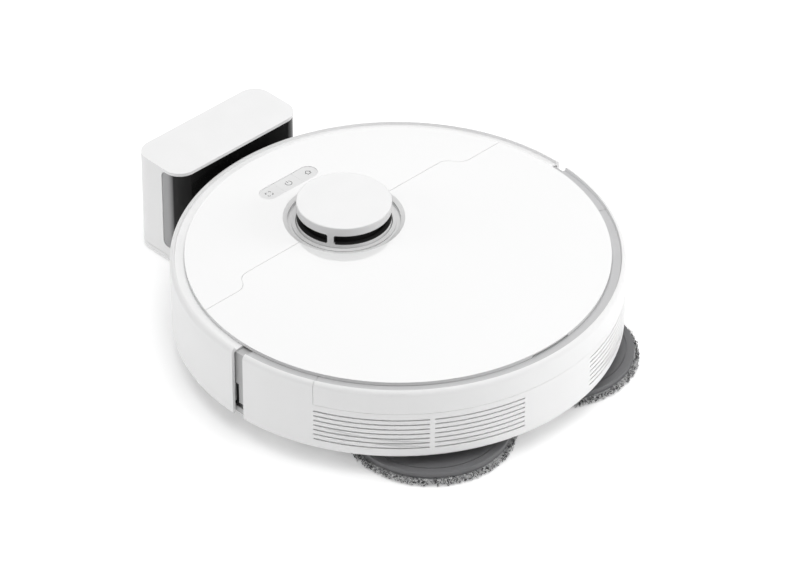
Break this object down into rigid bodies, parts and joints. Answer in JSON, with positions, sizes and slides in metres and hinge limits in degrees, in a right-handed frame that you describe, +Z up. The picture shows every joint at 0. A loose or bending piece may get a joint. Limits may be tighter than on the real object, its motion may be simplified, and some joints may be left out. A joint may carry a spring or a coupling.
{
  "type": "robot vacuum",
  "caption": "Round robot vacuum and mop with a lidar turret, sprung bumper, hinged lid, drive wheels, brushes, spinning mop pads and a charging dock.",
  "frame": {"origin": "centre of the round body, on the floor", "axes": "+Z up; -Y is the robot's front, with the bumper and the dock; +Y its rear, with the vents and mop pads; +X its own left"},
  "size_m": [0.35, 0.406, 0.0966],
  "materials": {
    "white_gloss": "polished white plastic",
    "white_satin": "satin white plastic",
    "ring_grey": "light grey satin plastic",
    "recess_grey": "mid grey matt plastic",
    "deck_grey": "light grey matt plastic",
    "black_gloss": "polished black plastic",
    "black_matt": "matt black plastic",
    "carrier_grey": "dark grey satin plastic",
    "frame_grey": "dark grey matt plastic",
    "pad_fabric": "grey microfibre pad with a shaggy two-tone fringe",
    "filter_pleats": "pleated white filter paper",
    "tyre_rubber": "lugged soft rubber",
    "brush_rubber": "soft rubber blades",
    "side_bristle": "bundled nylon bristles on rubber arms",
    "motor_steel": "pressed steel can",
    "shaft_steel": "turned steel",
    "contact_brass": "plated contact",
    "board_green": "solder-masked circuit board",
    "battery_wrap": "shrink-wrapped cell pack",
    "bin_smoke": "smoked clear plastic",
    "tank_grey": "frosted plastic",
    "impeller_white": "moulded nylon",
    "foot_rubber": "moulded rubber"
  },
  "bodies": {
    "chassis": {"base_chassis": "recess_grey", "rear_skirt": "white_satin", "rear_trim_band": "white_satin", "rim_ring": "ring_grey", "front_cover": "white_gloss", "inner_deck": "deck_grey", "turret_ring": "ring_grey", "lidar_base": "frame_grey", "lidar_motor": "motor_steel", "lidar_belt": "foot_rubber", "main_board": "board_green", "battery_pack": "battery_wrap", "fan_housing": "frame_grey", "fan_motor": "motor_steel", "dustbin": "bin_smoke", "dust_filter": "filter_pleats", "water_tank": "tank_grey", "mop_gearbox": "frame_grey", "mop_motor": "motor_steel", "brush_cover": "frame_grey", "brush_motor": "motor_steel", "side_brush_motor": "motor_steel", "cliff_sensors": "black_gloss", "charge_contacts": "contact_brass", "screws": "shaft_steel"},
    "lid": {"lid": "white_gloss"},
    "bumper": {"bumper": "white_satin", "bumper_window": "black_gloss"},
    "button_spot": {"button_spot": "ring_grey"},
    "button_power": {"button_power": "ring_grey"},
    "button_home": {"button_home": "ring_grey"},
    "turret": {"turret_cover": "white_satin"},
    "lidar": {"lidar_rotor": "black_matt"},
    "lidar_drive": {"lidar_pulley": "shaft_steel"},
    "fan": {"fan_impeller": "impeller_white"},
    "mop_left": {"mop_shaft_left": "shaft_steel", "mop_plate_left": "carrier_grey", "mop_pad_left": "pad_fabric"},
    "mop_right": {"mop_shaft_right": "shaft_steel", "mop_plate_right": "carrier_grey", "mop_pad_right": "pad_fabric"},
    "main_brush": {"brush_roller": "brush_rubber"},
    "side_brush": {"side_brush": "side_bristle"},
    "caster": {"caster_fork": "black_matt"},
    "caster_wheel": {"caster_wheel": "frame_grey"},
    "arm_left": {"wheel_arm_left": "frame_grey", "wheel_motor_left": "motor_steel"},
    "arm_right": {"wheel_arm_right": "frame_grey", "wheel_motor_right": "motor_steel"},
    "wheel_left": {"wheel_hub_left": "deck_grey", "tyre_left": "tyre_rubber"},
    "wheel_right": {"wheel_hub_right": "deck_grey", "tyre_right": "tyre_rubber"},
    "dock": {"dock_shell": "white_satin", "dock_panel": "black_gloss", "dock_base": "white_satin", "dock_inlet": "black_matt", "dock_feet": "foot_rubber"},
    "dock_contact_left": {"dock_contact_left": "contact_brass"},
    "dock_contact_right": {"dock_contact_right": "contact_brass"}
  },
  "joints": [
    {"name": "bumper_press", "type": "slide", "parent": "chassis", "child": "bumper", "axis": [0, 1, 0], "range_m": [0, 0.004], "stiffness_N_per_m": 600, "springref_m": -0.002},
    {"name": "lid_open", "type": "hinge", "parent": "chassis", "child": "lid", "pos_m": [0, -0.05985, 0.0808], "axis": [1, 0, 0], "range_deg": [0, 75]},
    {"name": "turret_press", "type": "slide", "parent": "chassis", "child": "turret", "axis": [0, 0, -1], "range_m": [0, 0.0015], "stiffness_N_per_m": 1500, "springref_m": -0.0006},
    {"name": "lidar_spin", "type": "hinge", "parent": "chassis", "child": "lidar", "pos_m": [0, -0.05985, 0.07], "axis": [0, 0, 1], "continuous": true},
    {"name": "lidar_drive_spin", "type": "hinge", "parent": "chassis", "child": "lidar_drive", "pos_m": [0.046, -0.05985, 0.064], "axis": [0, 0, 1], "continuous": true},
    {"name": "button_spot_press", "type": "slide", "parent": "chassis", "child": "button_spot", "axis": [0, 0, -1], "range_m": [0, 0.0006], "stiffness_N_per_m": 700, "springref_m": -0.0004},
    {"name": "button_power_press", "type": "slide", "parent": "chassis", "child": "button_power", "axis": [0, 0, -1], "range_m": [0, 0.0006], "stiffness_N_per_m": 700, "springref_m": -0.0004},
    {"name": "button_home_press", "type": "slide", "parent": "chassis", "child": "button_home", "axis": [0, 0, -1], "range_m": [0, 0.0006], "stiffness_N_per_m": 700, "springref_m": -0.0004},
    {"name": "fan_spin", "type": "hinge", "parent": "chassis", "child": "fan", "pos_m": [0.06, 0.076, 0.06], "axis": [0, 0, 1], "continuous": true},
    {"name": "mop_left_spin", "type": "hinge", "parent": "chassis", "child": "mop_left", "pos_m": [0.0666, 0.1037, 0.01], "axis": [0, 0, 1], "continuous": true},
    {"name": "mop_right_spin", "type": "hinge", "parent": "chassis", "child": "mop_right", "pos_m": [-0.0666, 0.1037, 0.01], "axis": [0, 0, 1], "continuous": true},
    {"name": "main_brush_spin", "type": "hinge", "parent": "chassis", "child": "main_brush", "pos_m": [0, -0.049, 0.02], "axis": [1, 0, 0], "continuous": true},
    {"name": "side_brush_spin", "type": "hinge", "parent": "chassis", "child": "side_brush", "pos_m": [-0.104, -0.098, 0.012], "axis": [0, 0, 1], "continuous": true},
    {"name": "caster_swivel", "type": "hinge", "parent": "chassis", "child": "caster", "pos_m": [0, -0.116, 0.03], "axis": [0, 0, 1], "continuous": true},
    {"name": "caster_roll", "type": "hinge", "parent": "caster", "child": "caster_wheel", "pos_m": [0, -0.109, 0.012], "axis": [1, 0, 0], "continuous": true},
    {"name": "suspension_left", "type": "hinge", "parent": "chassis", "child": "arm_left", "pos_m": [0.1, 0.038, 0.046], "axis": [1, 0, 0], "range_deg": [0, 25], "stiffness_Nm_per_rad": 0.3, "springref_deg": 51.57},
    {"name": "wheel_left_spin", "type": "hinge", "parent": "arm_left", "child": "wheel_left", "pos_m": [0.116, 0, 0.035], "axis": [1, 0, 0], "continuous": true},
    {"name": "suspension_right", "type": "hinge", "parent": "chassis", "child": "arm_right", "pos_m": [-0.1, 0.038, 0.046], "axis": [1, 0, 0], "range_deg": [0, 25], "stiffness_Nm_per_rad": 0.3, "springref_deg": 51.57},
    {"name": "wheel_right_spin", "type": "hinge", "parent": "arm_right", "child": "wheel_right", "pos_m": [-0.116, 0, 0.035], "axis": [1, 0, 0], "continuous": true},
    {"name": "undock", "type": "slide", "parent": "chassis", "child": "dock", "axis": [0, -1, 0], "range_m": [0, 0.3]},
    {"name": "dock_contact_left_press", "type": "slide", "parent": "dock", "child": "dock_contact_left", "axis": [0, 0, -1], "range_m": [0, 0.0015], "stiffness_N_per_m": 500, "springref_m": -0.0006},
    {"name": "dock_contact_right_press", "type": "slide", "parent": "dock", "child": "dock_contact_right", "axis": [0, 0, -1], "range_m": [0, 0.0015], "stiffness_N_per_m": 500, "springref_m": -0.0006}
  ],
  "couplings": [
    {"joint": "mop_right_spin", "follows": "mop_left_spin", "ratio": -1},
    {"joint": "lidar_drive_spin", "follows": "lidar_spin", "ratio": 6.75}
  ]
}
